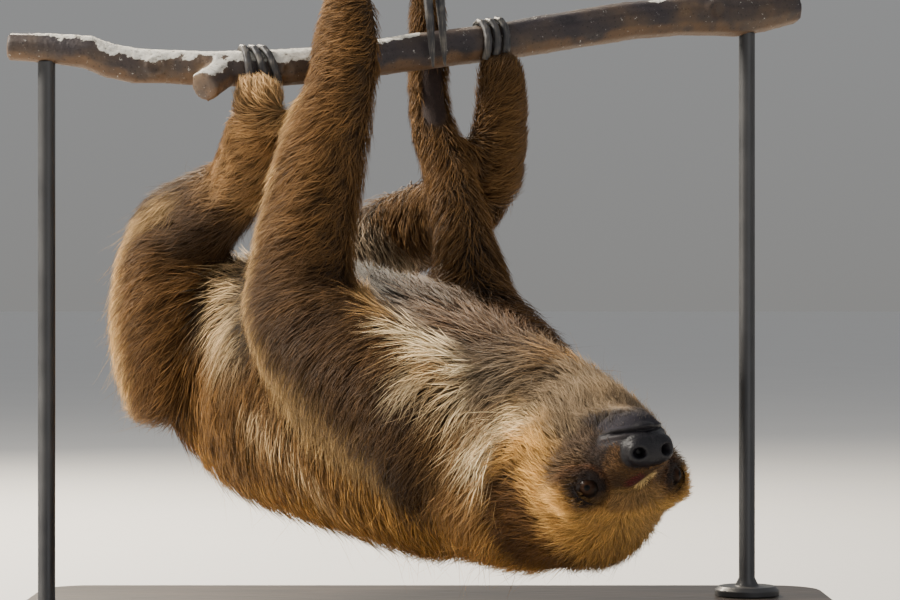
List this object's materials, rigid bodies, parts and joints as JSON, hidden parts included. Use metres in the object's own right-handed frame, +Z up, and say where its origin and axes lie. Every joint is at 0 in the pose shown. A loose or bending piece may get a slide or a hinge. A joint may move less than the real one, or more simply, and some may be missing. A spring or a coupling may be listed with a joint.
{
  "type": "two-toed sloth model",
  "caption": "Life-size museum model of a two-toed sloth hanging on its back under a cut length of branch, gripping it with hooked claws, on a flat base with slim rods",
  "frame": {"origin": "centre of the underside of the stand's flat base", "axes": "+Z up; +X along the long side of the base, roughly along the branch; the animal's face is turned towards -Y and a little towards +X, and its back hangs towards -Z"},
  "size_m": [0.6, 0.52, 0.4795],
  "materials": {
    "coat": "long coarse fur, pale greyish fawn on the belly and throat",
    "limb_coat": "long coarse brown fur, shorter towards the claws",
    "face_coat": "short golden fur, dark round the eyes",
    "bare_skin": "bare blue-black skin, slightly moist",
    "claw": "smooth grey horn, paler at the tips",
    "eye": "glossy dark brown",
    "bark": "smooth weathered bark with pale lichen",
    "base_wood": "satin black-brown lacquer",
    "rod_steel": "satin dark grey"
  },
  "bodies": {
    "root": {"stand_base": "base_wood", "stand_rod_left": "rod_steel", "stand_rod_right": "rod_steel", "perch_branch": "bark", "trunk": "coat", "neck": "coat", "head": "face_coat", "nose": "bare_skin", "eye_left": "eye", "ear_left": "face_coat", "upper_arm_left": "limb_coat", "forearm_left": "limb_coat", "hand_left": "limb_coat", "thigh_left": "limb_coat", "shank_left": "limb_coat", "foot_left": "limb_coat", "claw_hand_left_1": "claw", "claw_hand_left_2": "claw", "claw_foot_left_1": "claw", "claw_foot_left_2": "claw", "claw_foot_left_3": "claw", "eye_right": "eye", "ear_right": "face_coat", "upper_arm_right": "limb_coat", "forearm_right": "limb_coat", "hand_right": "limb_coat", "thigh_right": "limb_coat", "shank_right": "limb_coat", "foot_right": "limb_coat", "claw_hand_right_1": "claw", "claw_hand_right_2": "claw", "claw_foot_right_1": "claw", "claw_foot_right_2": "claw", "claw_foot_right_3": "claw"}
  },
  "joints": []
}
